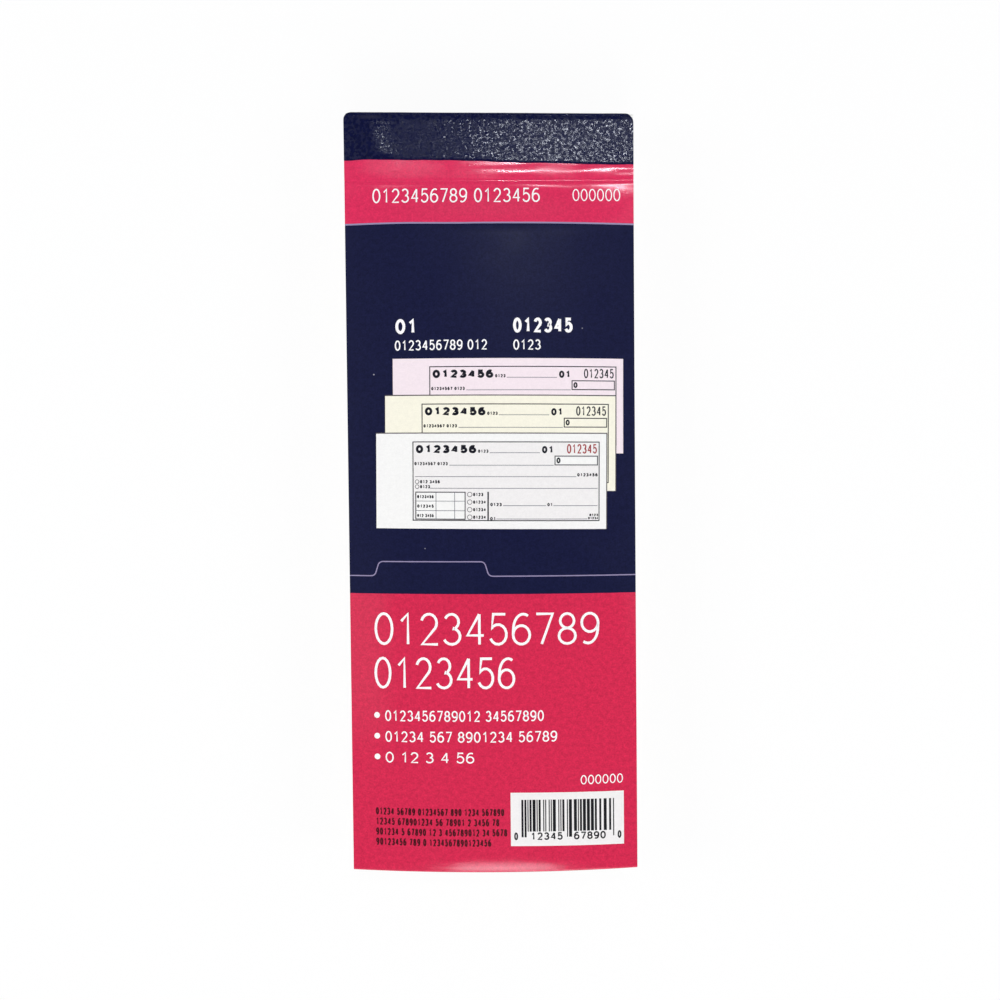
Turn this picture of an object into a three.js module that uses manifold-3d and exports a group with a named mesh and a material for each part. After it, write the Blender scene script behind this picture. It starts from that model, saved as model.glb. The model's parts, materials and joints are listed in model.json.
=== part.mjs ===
// Receipt book: a pad of numbered three-part receipt sets, stapled near one short end
// between a chipboard back and a printed card cover. An embossed binding tape wraps the
// stapled end. The cover opens at a crease just past the tape, and the end of the cover is
// turned in below it as a writing shield that goes under the set being written on.
//
// Sizes are in millimetres. +X runs across the book, +Y towards the bound end and +Z up
// from the back. The origin is on the underside, at the middle of the closed book.

import * as THREE from "three";
import { mergeVertices } from "three/addons/utils/BufferGeometryUtils.js";
import Module from "manifold-3d";

// Trim size of the forms, and how far the fold of the cover passes the tail of the pad
const BOOK_WIDTH = 69.85;
const TRIM_LENGTH = 182.56;
const FOLD_OVERHANG = 1.25;
const SPINE_CORNER_RADIUS = 1.6;

// Receipt sets, each a white original, a canary copy and a pink copy
const SET_COUNT = 50;
const PLY_THICKNESS = 0.085;
const SHEET_AIR = 0.005;
const TURNING_SETS = 4;

// Back board and card cover
const BACK_THICKNESS = 0.5;
const COVER_THICKNESS = 0.3;
const CREASE_FROM_SPINE = 15.9;
const HINGE_GAP = 0.3;

// Bow of the cover across its width, which starts at the crease and fades into the pad
const COVER_CROWN = 2.8;
const CROWN_RAMP = 13.8;
const LEAF_CROWN_SHARE = 0.42;

// Rolled lower fold of the cover, and the writing shield turned in below it
const FOLD_RADIUS = 0.7;
const SHIELD_LENGTH = 75;
const SHIELD_GAP = 0.3;
const SHIELD_CLEARANCE = 0.05;

// Binding tape: the front flange was laid a little askew, with its edge bowed towards the
// bound end at the middle, and the back flange lies in a recess of the back board
const TAPE_THICKNESS = 0.2;
const TAPE_FRONT_LEFT = 10.8;
const TAPE_FRONT_RIGHT = 12;
const TAPE_EDGE_BOW = 0.35;
const TAPE_BACK = 11.4;
const TAPE_EDGE_CLEARANCE = 0.1;

// Two flat-wire staples, side by side across the width
const STAPLE_WIDTH = 12;
const STAPLE_SPACING = 34;
const STAPLE_FROM_SPINE = 6.5;
const WIRE_WIDTH = 0.5;
const WIRE_THICKNESS = 0.28;
const WIRE_BEND_RADIUS = 0.05;
const FOOT_LENGTH = 4.5;
const STAPLE_CLEARANCE = 0.1;

// Fineness of the curved forms, and how near two corners are joined as one
const CORNER_STEPS = 2;
const TAPE_EDGE_STEPS = 6;
const BEND_STEPS = 2;
const CROWN_COLUMNS = 10;
const CROWN_ROWS = 5;
const FOLD_STEPS = 8;
const WELD_DISTANCE = 1e-4;

// Places along the length
const bookLength = TAPE_THICKNESS + SHEET_AIR + TRIM_LENGTH + FOLD_OVERHANG;
const spineY = bookLength / 2;
const paperSpineY = spineY - TAPE_THICKNESS - SHEET_AIR;
const paperTailY = paperSpineY - TRIM_LENGTH;
const creaseY = spineY - CREASE_FROM_SPINE;
const stapleY = spineY - STAPLE_FROM_SPINE;
const leafLength = creaseY - HINGE_GAP - paperTailY;
const foldDistance = leafLength + FOLD_OVERHANG - FOLD_RADIUS;

// Levels through the thickness. The pad lies on the back board or on the staple feet,
// whichever stand higher, and the tape lies on the cover or on the staple crowns.
const PLIES = ["white_original", "canary_copy", "pink_copy"];
const setThickness = PLIES.length * PLY_THICKNESS;
const setPitch = setThickness + SHEET_AIR;
const plyPitch = setPitch / PLIES.length;
const feetTop = Math.max(BACK_THICKNESS, TAPE_THICKNESS + SHEET_AIR + WIRE_THICKNESS);
const padBottom = feetTop + SHEET_AIR;
const padTop = padBottom + SET_COUNT * setPitch - SHEET_AIR;
const stubsBottom = padBottom + (SET_COUNT - TURNING_SETS) * setPitch;
const coverBottom = padTop + SHEET_AIR;
const hingeZ = coverBottom + COVER_THICKNESS;
const crownsTop = coverBottom + WIRE_THICKNESS;
const flangeBottom = Math.max(hingeZ, crownsTop) + SHEET_AIR;
const tapeTop = flangeBottom + TAPE_THICKNESS;
const shieldBottom = coverBottom + SHIELD_CLEARANCE;
const coverRise = shieldBottom + 2 * FOLD_RADIUS - hingeZ;

const MATERIALS = {
  crimson_card: { color: "#d8375a", roughness: 0.3 },
  chipboard: { color: "#8d8274", roughness: 0.9 },
  white_paper: { color: "#f8f8f6", roughness: 0.85 },
  canary_paper: { color: "#f3ecae", roughness: 0.85 },
  pink_paper: { color: "#f3c9d6", roughness: 0.85 },
  set_paper: { color: "#f4efe6", roughness: 0.85 },
  binding_tape: { color: "#242641", roughness: 0.35 },
  staple_wire: { color: "#b9bcc0", roughness: 0.35, metalness: 1 },
};

const wasm = await Module();
wasm.setup();

// A closed geometry as a solid that can be joined and cut
function toSolid(geometry) {
  const bare = geometry.clone();
  bare.deleteAttribute("normal");
  bare.deleteAttribute("uv");
  const merged = mergeVertices(bare, WELD_DISTANCE);
  const vertProperties = merged.attributes.position.array;
  const triVerts = new Uint32Array(merged.index.array);
  return new wasm.Manifold(new wasm.Mesh({ numProp: 3, vertProperties, triVerts }));
}

// A joined or cut solid as a geometry again
function toGeometry(solid) {
  const mesh = solid.getMesh();
  const geometry = new THREE.BufferGeometry();
  geometry.setAttribute("position", new THREE.BufferAttribute(mesh.vertProperties, 3));
  geometry.setIndex(new THREE.BufferAttribute(mesh.triVerts, 1));
  geometry.computeVertexNormals();
  return geometry;
}

function piece(name, geometry, material, x, y, z) {
  const mesh = new THREE.Mesh(geometry, new THREE.MeshStandardMaterial(MATERIALS[material]));
  mesh.name = name;
  mesh.position.set(x, y, z);
  return mesh;
}

// Plan outline of a sheet that reaches the bound end. The trimmed corners there are arcs
// about the outer corner centres, cut short where the sheet ends inside the tape.
function boundOutline(tailY, endY) {
  const half = BOOK_WIDTH / 2;
  const centreX = half - SPINE_CORNER_RADIUS;
  const centreY = spineY - SPINE_CORNER_RADIUS;
  const turn = Math.asin(Math.min(1, (endY - centreY) / SPINE_CORNER_RADIUS));
  const outline = new THREE.Shape();
  outline.moveTo(-half, tailY);
  outline.lineTo(half, tailY);
  outline.absarc(centreX, centreY, SPINE_CORNER_RADIUS, 0, turn);
  outline.absarc(-centreX, centreY, SPINE_CORNER_RADIUS, Math.PI - turn, Math.PI);
  outline.closePath();
  return outline;
}

function plate(outline, depth, curveSegments = CORNER_STEPS) {
  return new THREE.ExtrudeGeometry(outline, { depth, curveSegments, bevelEnabled: false });
}

function punched(geometry, cutters) {
  const cut = (solid, cutter) => solid.subtract(toSolid(cutter));
  return toGeometry(cutters.reduce(cut, toSolid(geometry)));
}

// A punch along the line of staples, tall enough to pass through the whole pad
function punch(x, width) {
  const box = new THREE.BoxGeometry(width, WIRE_WIDTH + 2 * STAPLE_CLEARANCE, 4 * tapeTop);
  return box.translate(x, stapleY, 0);
}

const stapleCentres = [-STAPLE_SPACING / 2, STAPLE_SPACING / 2];

// The four holes that the staple legs pass through
function legHoles() {
  const width = WIRE_THICKNESS + 2 * STAPLE_CLEARANCE;
  const reach = (STAPLE_WIDTH - WIRE_THICKNESS) / 2;
  return stapleCentres.flatMap((x) => [punch(x - reach, width), punch(x + reach, width)]);
}

// The two slots that hold the staple crowns or the clinched feet
function crownSlots() {
  return stapleCentres.map((x) => punch(x, STAPLE_WIDTH + 2 * STAPLE_CLEARANCE));
}

// A sheet that bows up in a parabola across its width. Rows run from the bound end to the
// tail, each with a point on the upper and the lower face as (y, z). The bow grows from
// nothing at the crease to its full height, and fromCrease is the crease's own y here.
function bowedSheet(rows, bow, fromCrease = 0) {
  const positions = [];
  for (const face of ["upper", "lower"]) {
    for (const row of rows) {
      const behind = fromCrease - row[face].x;
      const along = THREE.MathUtils.smoothstep(behind, 0, CROWN_RAMP);
      for (let i = 0; i <= CROWN_COLUMNS; i++) {
        const across = (2 * i) / CROWN_COLUMNS - 1;
        const lift = bow * along * (1 - across * across);
        positions.push((across * BOOK_WIDTH) / 2, row[face].x, row[face].y + lift);
      }
    }
  }
  const columns = CROWN_COLUMNS + 1;
  const at = (face, row, column) => (face * rows.length + row) * columns + column;
  const index = [];
  const quad = (a, b, c, d) => index.push(a, b, c, a, c, d);
  const last = rows.length - 1;
  for (let i = 0; i < CROWN_COLUMNS; i++) {
    for (let j = 0; j < last; j++) {
      quad(at(0, j, i), at(0, j + 1, i), at(0, j + 1, i + 1), at(0, j, i + 1));
      quad(at(1, j, i), at(1, j, i + 1), at(1, j + 1, i + 1), at(1, j + 1, i));
    }
    quad(at(0, 0, i), at(0, 0, i + 1), at(1, 0, i + 1), at(1, 0, i));
    quad(at(0, last, i), at(1, last, i), at(1, last, i + 1), at(0, last, i + 1));
  }
  for (let j = 0; j < last; j++) {
    quad(at(0, j, 0), at(1, j, 0), at(1, j + 1, 0), at(0, j + 1, 0));
    const end = CROWN_COLUMNS;
    quad(at(0, j, end), at(0, j + 1, end), at(1, j + 1, end), at(1, j, end));
  }
  const geometry = new THREE.BufferGeometry();
  geometry.setAttribute("position", new THREE.Float32BufferAttribute(positions, 3));
  geometry.setIndex(index);
  geometry.computeVertexNormals();
  return geometry;
}

function rowAt(y, bottom, thickness) {
  return { upper: new THREE.Vector2(y, bottom + thickness), lower: new THREE.Vector2(y, bottom) };
}

// Distances from the crease at which a bowed sheet needs a row while its bow grows
function rampStations() {
  const stations = [];
  for (let i = 0; i <= CROWN_ROWS; i++) stations.push((CROWN_RAMP * i) / CROWN_ROWS);
  return stations;
}

// A receipt leaf from the crease to its tail
function leafGeometry(thickness, bow) {
  const rows = [...rampStations(), leafLength].map((d) => rowAt(-d, 0, thickness));
  return bowedSheet(rows, bow);
}

// The cover from the crease to the tail, where it rolls over in a half round
function coverGeometry() {
  const rise = (d) => (coverRise * d) / foldDistance;
  const rows = rampStations().map((d) => rowAt(-d, rise(d), COVER_THICKNESS));
  const centre = new THREE.Vector2(-foldDistance, coverRise + COVER_THICKNESS - FOLD_RADIUS);
  for (let i = 0; i <= FOLD_STEPS; i++) {
    const angle = Math.PI * (0.5 + i / FOLD_STEPS);
    const outward = new THREE.Vector2(Math.cos(angle), Math.sin(angle));
    rows.push({
      upper: centre.clone().addScaledVector(outward, FOLD_RADIUS),
      lower: centre.clone().addScaledVector(outward, FOLD_RADIUS - COVER_THICKNESS),
    });
  }
  return bowedSheet(rows, COVER_CROWN);
}

// The turned-in end of the cover, from its free edge back to the fold
function shieldGeometry() {
  const rows = [SHIELD_LENGTH, SHIELD_GAP].map((y) => rowAt(y, 0, COVER_THICKNESS));
  return bowedSheet(rows, COVER_CROWN, foldDistance);
}

function backCover() {
  const board = plate(boundOutline(paperTailY, paperSpineY), BACK_THICKNESS);
  const recessY = spineY - TAPE_BACK - TAPE_EDGE_CLEARANCE;
  const recessDepth = TAPE_THICKNESS + SHEET_AIR;
  const recess = new THREE.BoxGeometry(2 * BOOK_WIDTH, bookLength, 2 * recessDepth);
  recess.translate(0, recessY + bookLength / 2, 0);
  return punched(board, [recess, ...crownSlots()]);
}

// Plan outline of the tape's upper flange. A quadratic curve has half the bow of its control
// point, so the point stands twice the edge's bow off the straight line.
function flangeOutline() {
  const half = BOOK_WIDTH / 2;
  const leftY = spineY - TAPE_FRONT_LEFT;
  const rightY = spineY - TAPE_FRONT_RIGHT;
  const outline = new THREE.Shape();
  outline.moveTo(-half, leftY);
  outline.quadraticCurveTo(0, (leftY + rightY) / 2 + 2 * TAPE_EDGE_BOW, half, rightY);
  outline.curves.push(...boundOutline(leftY, spineY).curves.slice(1));
  return outline;
}

function tapeGeometry() {
  const half = tapeTop / 2;
  const upper = plate(flangeOutline(), half, TAPE_EDGE_STEPS);
  upper.translate(0, 0, half);
  const lower = plate(boundOutline(spineY - TAPE_BACK, spineY), half, TAPE_EDGE_STEPS);
  const inside = new THREE.BoxGeometry(2 * BOOK_WIDTH, bookLength, flangeBottom - TAPE_THICKNESS);
  const insideY = spineY - TAPE_THICKNESS - bookLength / 2;
  inside.translate(0, insideY, (flangeBottom + TAPE_THICKNESS) / 2);
  return toGeometry(toSolid(upper).add(toSolid(lower)).subtract(toSolid(inside)));
}

// A staple as a band of flat wire: crown on top, two legs, and feet clinched inwards
function stapleGeometry() {
  const side = STAPLE_WIDTH / 2;
  const height = crownsTop - (feetTop - WIRE_THICKNESS);
  const outer = WIRE_BEND_RADIUS + WIRE_THICKNESS;
  const footEnd = side - FOOT_LENGTH;
  const left = -side + outer;
  const right = side - outer;
  const high = height - outer;
  const band = new THREE.Shape();
  band.moveTo(-footEnd, 0);
  band.absarc(left, outer, outer, 1.5 * Math.PI, Math.PI, true);
  band.absarc(left, high, outer, Math.PI, 0.5 * Math.PI, true);
  band.absarc(right, high, outer, 0.5 * Math.PI, 0, true);
  band.absarc(right, outer, outer, 0, -0.5 * Math.PI, true);
  band.lineTo(footEnd, 0);
  band.lineTo(footEnd, WIRE_THICKNESS);
  band.absarc(right, outer, WIRE_BEND_RADIUS, -0.5 * Math.PI, 0);
  band.absarc(right, high, WIRE_BEND_RADIUS, 0, 0.5 * Math.PI);
  band.absarc(left, high, WIRE_BEND_RADIUS, 0.5 * Math.PI, Math.PI);
  band.absarc(left, outer, WIRE_BEND_RADIUS, Math.PI, 1.5 * Math.PI);
  band.lineTo(-footEnd, WIRE_THICKNESS);
  band.closePath();
  const geometry = plate(band, WIRE_WIDTH, BEND_STEPS);
  geometry.translate(0, 0, -WIRE_WIDTH / 2);
  return geometry;
}

function staple(name, x) {
  const mesh = piece(name, stapleGeometry(), "staple_wire", x, stapleY, feetTop - WIRE_THICKNESS);
  mesh.rotation.x = Math.PI / 2;
  return mesh;
}

const twoDigits = (number) => String(number).padStart(2, "0");

// What stays still: back board, fixed sets, stubs of the turning sets, staples and tape
function bookBlock() {
  const block = new THREE.Group();
  block.add(piece("back_cover", backCover(), "chipboard", 0, 0, 0));
  const set = punched(plate(boundOutline(paperTailY, paperSpineY), setThickness), legHoles());
  for (let number = SET_COUNT; number > TURNING_SETS; number--) {
    const level = padBottom + (SET_COUNT - number) * setPitch;
    block.add(piece(`receipt_set_${twoDigits(number)}`, set, "set_paper", 0, 0, level));
  }
  const boundStrip = boundOutline(creaseY, paperSpineY);
  const stubs = punched(plate(boundStrip, padTop - stubsBottom), legHoles());
  block.add(piece("bound_stubs", stubs, "set_paper", 0, 0, stubsBottom));
  const strip = punched(plate(boundStrip, COVER_THICKNESS), crownSlots());
  block.add(piece("front_cover_binding_strip", strip, "crimson_card", 0, 0, coverBottom));
  block.add(piece("spine_tape", tapeGeometry(), "binding_tape", 0, 0, 0));
  block.add(staple("staple_left", stapleCentres[0]));
  block.add(staple("staple_right", stapleCentres[1]));
  return block;
}

// A group at the crease, on the top face of the cover strip, that one leaf turns about
function creaseHinge(mesh) {
  const hinge = new THREE.Group();
  hinge.position.set(0, creaseY, hingeZ);
  hinge.add(mesh);
  return hinge;
}

// The leaves that turn: the three plies of the first set, then whole sets
function turningLeaves() {
  const leaves = PLIES.map((ply, i) => ({
    name: `${ply}_01`,
    material: ply.replace(/_.*/, "_paper"),
    thickness: PLY_THICKNESS,
    bottom: padTop - setThickness + (PLIES.length - 1 - i) * plyPitch,
  }));
  for (let number = 2; number <= TURNING_SETS; number++) {
    leaves.push({
      name: `receipt_set_${twoDigits(number)}`,
      material: "set_paper",
      thickness: setThickness,
      bottom: padBottom + (SET_COUNT - number) * setPitch,
    });
  }
  const topBow = COVER_CROWN * LEAF_CROWN_SHARE;
  return leaves.map((leaf, i) => {
    const geometry = leafGeometry(leaf.thickness, topBow * (1 - i / leaves.length));
    const level = leaf.bottom - hingeZ;
    return creaseHinge(piece(leaf.name, geometry, leaf.material, 0, -HINGE_GAP, level));
  });
}

// The cover turns about the crease, and the writing shield about the fold at its tail
function turningCover() {
  const level = coverBottom - hingeZ;
  const cover = piece("front_cover", coverGeometry(), "crimson_card", 0, -HINGE_GAP, level);
  const hinge = creaseHinge(cover);
  const fold = new THREE.Group();
  fold.position.set(0, -HINGE_GAP - foldDistance, shieldBottom - hingeZ);
  fold.add(piece("writing_shield", shieldGeometry(), "crimson_card", 0, 0, 0));
  hinge.add(fold);
  return hinge;
}

const receiptBook = new THREE.Group();
receiptBook.add(bookBlock(), ...turningLeaves(), turningCover());

export default receiptBook;
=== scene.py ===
import json
import random
from math import asin, ceil, cos, dist, pi, radians, sin

import bpy
import numpy as np
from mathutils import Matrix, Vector

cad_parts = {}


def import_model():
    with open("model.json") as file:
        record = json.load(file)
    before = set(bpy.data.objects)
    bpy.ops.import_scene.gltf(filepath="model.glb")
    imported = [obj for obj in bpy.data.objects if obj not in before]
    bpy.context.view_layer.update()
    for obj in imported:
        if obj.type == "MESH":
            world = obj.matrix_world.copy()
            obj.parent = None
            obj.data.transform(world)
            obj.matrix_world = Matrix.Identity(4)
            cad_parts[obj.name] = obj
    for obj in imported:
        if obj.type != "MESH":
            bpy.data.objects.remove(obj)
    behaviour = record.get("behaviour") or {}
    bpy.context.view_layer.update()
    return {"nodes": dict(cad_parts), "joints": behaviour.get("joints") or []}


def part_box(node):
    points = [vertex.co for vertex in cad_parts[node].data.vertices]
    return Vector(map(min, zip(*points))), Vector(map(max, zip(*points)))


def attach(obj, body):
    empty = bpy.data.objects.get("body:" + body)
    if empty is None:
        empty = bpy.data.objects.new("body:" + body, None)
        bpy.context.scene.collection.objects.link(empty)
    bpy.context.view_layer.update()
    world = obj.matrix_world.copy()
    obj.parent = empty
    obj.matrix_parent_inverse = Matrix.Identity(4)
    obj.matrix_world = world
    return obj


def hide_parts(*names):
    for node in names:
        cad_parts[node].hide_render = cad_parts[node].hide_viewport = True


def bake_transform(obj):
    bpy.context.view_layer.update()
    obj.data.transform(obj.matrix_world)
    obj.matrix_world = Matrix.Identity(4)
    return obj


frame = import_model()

# Receipt book seen from above: bowed, printed card cover, embossed binding tape, and a pad
# of white, canary and pink leaves. Lengths are in millimetres until a mesh is made. A place
# on the cover is (x, d): x from the long centre line, d down from the bound end.
MM = 0.001

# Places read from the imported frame
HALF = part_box("back_cover")[1].x / MM
SPINE_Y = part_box("spine_tape")[1].y / MM
PAPER_SPINE_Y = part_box("back_cover")[1].y / MM
PAD_TAIL_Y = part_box("back_cover")[0].y / MM
TAIL_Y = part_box("front_cover")[0].y / MM
CARD_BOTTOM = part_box("front_cover_binding_strip")[0].z / MM
CARD_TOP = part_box("front_cover_binding_strip")[1].z / MM
TAPE_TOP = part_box("spine_tape")[1].z / MM
CARD = CARD_TOP - CARD_BOTTOM
JOINTS = {j["name"]: j for j in frame["joints"]}
CREASE = SPINE_Y - JOINTS["front_cover_hinge"]["pos_m"][1] / MM
FOLD_Y = JOINTS["writing_shield_fold"]["pos_m"][1] / MM
FOLD_Z = JOINTS["writing_shield_fold"]["pos_m"][2] / MM
FOLD_D = SPINE_Y - FOLD_Y
FOLD_RADIUS = FOLD_Y - TAIL_Y
PAD_TAIL_D = SPINE_Y - PAD_TAIL_Y

# Bow of the cover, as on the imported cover
COVER_BOW = 2.8
BOW_RAMP = 13.8
LEAF_BOW_SHARE = 0.42
COVER_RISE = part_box("front_cover")[1].z / MM - COVER_BOW - CARD_TOP
LEFT_CORNER = 1.6
RIGHT_CORNER = 2.4

# The photograph's camera: its distance and small tilts come from the book's outline there
PHOTO_PIXELS = 1000
CAMERA_AT = (-0.27, 6.645, 234.0)
CAMERA_TURN = (-0.0351, -0.0103, -0.009)
FOCAL_PIXELS = 901.0
SENSOR = 36.0

BLOCK = "book_block"
COVER = "cover_body"


def linear(red, green, blue):
    """An 8-bit display colour as a linear one."""
    values = [c / 255 for c in (red, green, blue)]
    return tuple(c / 12.92 if c <= 0.04045 else ((c + 0.055) / 1.055) ** 2.4 for c in values)


def smooth(t):
    t = np.clip(t, 0, 1)
    return t * t * (3 - 2 * t)


# Surfaces

def bow(x, d, height):
    return height * (1 - (x / HALF) ** 2) * smooth((d - CREASE) / BOW_RAMP)


def ridge(x, d, at, reach, turn, height):
    """A long low wrinkle: centre, reach along and across, turn in degrees, height."""
    c, s = cos(radians(turn)), sin(radians(turn))
    along = ((x - at[0]) * c + (d - at[1]) * s) / reach[0]
    across = (-(x - at[0]) * s + (d - at[1]) * c) / reach[1]
    return height * np.exp(-along ** 2 - across ** 2)


LATTICE = 64


def uneven(x, d, pitch_x, pitch_d, seed):
    """Smooth random unevenness between -1 and 1, with one value for each pitch of length."""
    lattice = np.random.default_rng(seed).uniform(-1, 1, (LATTICE, LATTICE))
    u, v = (x + 50) / pitch_x, (d + 30) / pitch_d
    i, j = np.floor(u).astype(int), np.floor(v).astype(int)
    a, b = smooth(u - i), smooth(v - j)
    pick = lambda m, n: lattice[m % LATTICE, n % LATTICE]
    low = pick(i, j) * (1 - a) + pick(i + 1, j) * a
    high = pick(i, j + 1) * (1 - a) + pick(i + 1, j + 1) * a
    return low * (1 - b) + high * b


# Wear of the cover: crease with its lip, strip of folds beside the tape, waviness of the rest
CREASE_DEPTH = 0.06
CREASE_LIP = 0.03
STRIP_MIDDLE = 13.9
STRIP_REACH = 2.9
SWELL_CREST = 13.7
SWELL_HEIGHT = 0.055
FOLD_HEIGHT = 0.018
FOLDS_AT_LEFT = 0.15
WAVE_HEIGHT = 0.02


def wrinkles(x, d):
    """Pressed crease line, small folds beside the tape at the right, and a slight waviness."""
    crease = -CREASE_DEPTH * np.exp(-((d - CREASE) / 0.35) ** 2)
    crease = crease + CREASE_LIP * np.exp(-((d - CREASE - 0.9) / 0.5) ** 2)
    strip = np.exp(-((d - STRIP_MIDDLE) / STRIP_REACH) ** 4)
    swell = SWELL_HEIGHT * np.cos((d - SWELL_CREST) / (CREASE + 0.5 - SWELL_CREST) * pi)
    rough = FOLD_HEIGHT * uneven(x, d, 7.0, 0.9, 4)
    share = FOLDS_AT_LEFT + (1 - FOLDS_AT_LEFT) * smooth((x + 12) / 20)
    folds = (swell + rough) * strip * share
    folds = folds + ridge(x, d, (28, 13.0), (9, 0.5), -4, 0.02)
    folds = folds + ridge(x, d, (14, 16.9), (8, 0.5), 4, 0.03)
    wave = WAVE_HEIGHT * np.sin(x / 5.3 + d / 7.1) * np.sin(d / 9.7 - x / 13.0)
    return crease + folds + wave * smooth((d - 12) / 6)


# The bow sinks a little just before the fold, and the right end of the fold stands up
TAIL_DROP = 0.45
TAIL_SOFT = 4.2
CORNER_LIFT = 1.0


def corner_lift(x, d):
    """The cover stands a little higher towards the right end of the fold."""
    along = np.clip((d - CREASE) / (FOLD_D - CREASE), 0, 1)
    return CORNER_LIFT * ((x / HALF + 1) / 2) ** 2 * along ** 2


def card_top(x, d):
    x, d = np.broadcast_arrays(np.asarray(x, float), np.asarray(d, float))
    rise = COVER_RISE * np.clip((d - CREASE) / (FOLD_D - CREASE), 0, 1)
    near_fold = np.clip((d - FOLD_D + TAIL_SOFT) / TAIL_SOFT, 0, 1)
    drop = TAIL_DROP * (1 - (x / HALF) ** 2) * near_fold ** 2
    return CARD_TOP + rise + bow(x, d, COVER_BOW) + corner_lift(x, d) + wrinkles(x, d) - drop


# Meshes

def grid_faces(rows, columns, first=0, flip=False):
    faces = []
    for r in range(rows - 1):
        for c in range(columns - 1):
            a = first + r * columns + c
            quad = (a, a + columns, a + columns + 1, a + 1)
            faces.append(quad[::-1] if flip else quad)
    return faces


def add_object(name, data):
    thing = bpy.data.objects.new(name, data)
    bpy.context.scene.collection.objects.link(thing)
    return thing


def add_mesh(name, points, faces, materials, kinds=None, smooth_shaded=True, uv=None):
    """A mesh object from millimetre points; kinds gives each face's material index."""
    mesh = bpy.data.meshes.new(name)
    mesh.from_pydata([tuple(p) for p in np.asarray(points, float) * MM], [], faces)
    for m in materials:
        mesh.materials.append(m)
    if kinds is not None:
        mesh.polygons.foreach_set("material_index", kinds)
    mesh.polygons.foreach_set("use_smooth", [smooth_shaded] * len(faces))
    if uv is not None:
        layer = mesh.uv_layers.new(name="flat")
        loops = np.empty(len(mesh.loops), int)
        mesh.loops.foreach_get("vertex_index", loops)
        layer.data.foreach_set("uv", (np.asarray(uv, float) * MM)[loops].ravel())
    mesh.update()
    return add_object(name, mesh)


def sheet(name, outer, inner, flat, materials):
    """A closed sheet between two grids of points: materials are outer, inner and edge."""
    rows, columns = outer.shape[:2]
    count = rows * columns
    faces = grid_faces(rows, columns) + grid_faces(rows, columns, count, True)
    kinds = [0] * (len(faces) // 2) + [1] * (len(faces) // 2)
    rim = [(c, c + 1) for c in range(columns - 1)]
    rim += [(count - c - 1, count - c - 2) for c in range(columns - 1)]
    rim += [(left + columns, left) for left in range(0, count - columns, columns)]
    rim += [(right, right + columns) for right in range(columns - 1, count - 1, columns)]
    faces += [(a, b, b + count, a + count) for a, b in rim]
    kinds += [2] * len(rim)
    points = np.concatenate([outer.reshape(-1, 3), inner.reshape(-1, 3)])
    uv = np.concatenate([flat.reshape(-1, 2), flat.reshape(-1, 2)])
    thing = add_mesh(name, points, faces, materials, kinds, uv=uv)
    sharp = thing.data.attributes.new("sharp_edge", "BOOLEAN", "EDGE")
    border = {frozenset((a + base, b + base)) for a, b in rim for base in (0, count)}
    sharp.data.foreach_set("value", [frozenset(e.vertices) in border for e in thing.data.edges])
    return thing


# Materials

def new_material(name, roughness=0.5, specular=0.5):
    material = bpy.data.materials.new(name)
    material.use_nodes = True
    tree = material.node_tree
    shader = tree.nodes["Principled BSDF"]
    shader.inputs["Roughness"].default_value = roughness
    shader.inputs["Specular IOR Level"].default_value = specular
    return material, tree, shader


def add_node(tree, kind, inputs=None, **settings):
    node = tree.nodes.new(kind)
    for key, value in settings.items():
        setattr(node, key, value)
    for key, value in (inputs or {}).items():
        node.inputs[key].default_value = value
    return node


def operate(tree, kind, operation, *inputs):
    """Outputs of a maths node, each of whose inputs is another node's output or a constant."""
    node = add_node(tree, kind, operation=operation)
    for socket, value in zip(node.inputs, inputs):
        if isinstance(value, bpy.types.NodeSocket):
            tree.links.new(value, socket)
        else:
            socket.default_value = value
    return node.outputs


def show_mixed(tree, factor, first, second, output):
    """Shows two shaders mixed by a factor, which is 0 where only the first is seen."""
    mix = add_node(tree, "ShaderNodeMixShader")
    for value, socket in zip((factor, first, second), mix.inputs):
        tree.links.new(value, socket)
    tree.links.new(mix.outputs[0], tree.nodes[output].inputs["Surface"])


def flat_coordinates(tree):
    """The sheet's own flat coordinates, in metres, so that a print stays on its sheet."""
    return add_node(tree, "ShaderNodeUVMap", uv_map="flat").outputs["UV"]


def solid_coordinates(tree):
    """The object's own coordinates, in metres, for what goes through a solid."""
    return add_node(tree, "ShaderNodeTexCoord").outputs["Object"]


def noise(tree, coordinates, per_mm, detail=2.0, roughness=0.5):
    node = add_node(tree, "ShaderNodeTexNoise", {"Scale": per_mm / MM, "Detail": detail,
                                                 "Roughness": roughness})
    tree.links.new(coordinates, node.inputs["Vector"])
    return node.outputs["Fac"]


def remap(tree, source, low, high, from_low=0.3, from_high=0.7):
    node = add_node(tree, "ShaderNodeMapRange", {"From Min": from_low, "From Max": from_high,
                                                 "To Min": low, "To Max": high})
    tree.links.new(source, node.inputs["Value"])
    return node.outputs["Result"]


def shade(tree, colour, factor):
    """An 8-bit display colour, made lighter or darker by a factor."""
    node = add_node(tree, "ShaderNodeVectorMath", operation="SCALE")
    node.inputs[0].default_value = linear(*colour)
    tree.links.new(factor, node.inputs["Scale"])
    return node.outputs["Vector"]


def paint(tree, shader, colour, factor):
    tree.links.new(shade(tree, colour, factor), shader.inputs["Base Color"])


def vary_roughness(tree, shader, source, low, high, *ends):
    tree.links.new(remap(tree, source, low, high, *ends), shader.inputs["Roughness"])


def bump(tree, shader, height, distance_mm, strength=1.0, below=None):
    node = add_node(tree, "ShaderNodeBump", {"Strength": strength, "Distance": distance_mm * MM})
    tree.links.new(height, node.inputs["Height"])
    if below is not None:
        tree.links.new(below, node.inputs["Normal"])
    tree.links.new(node.outputs["Normal"], shader.inputs["Normal"])
    return node.outputs["Normal"]


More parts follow.
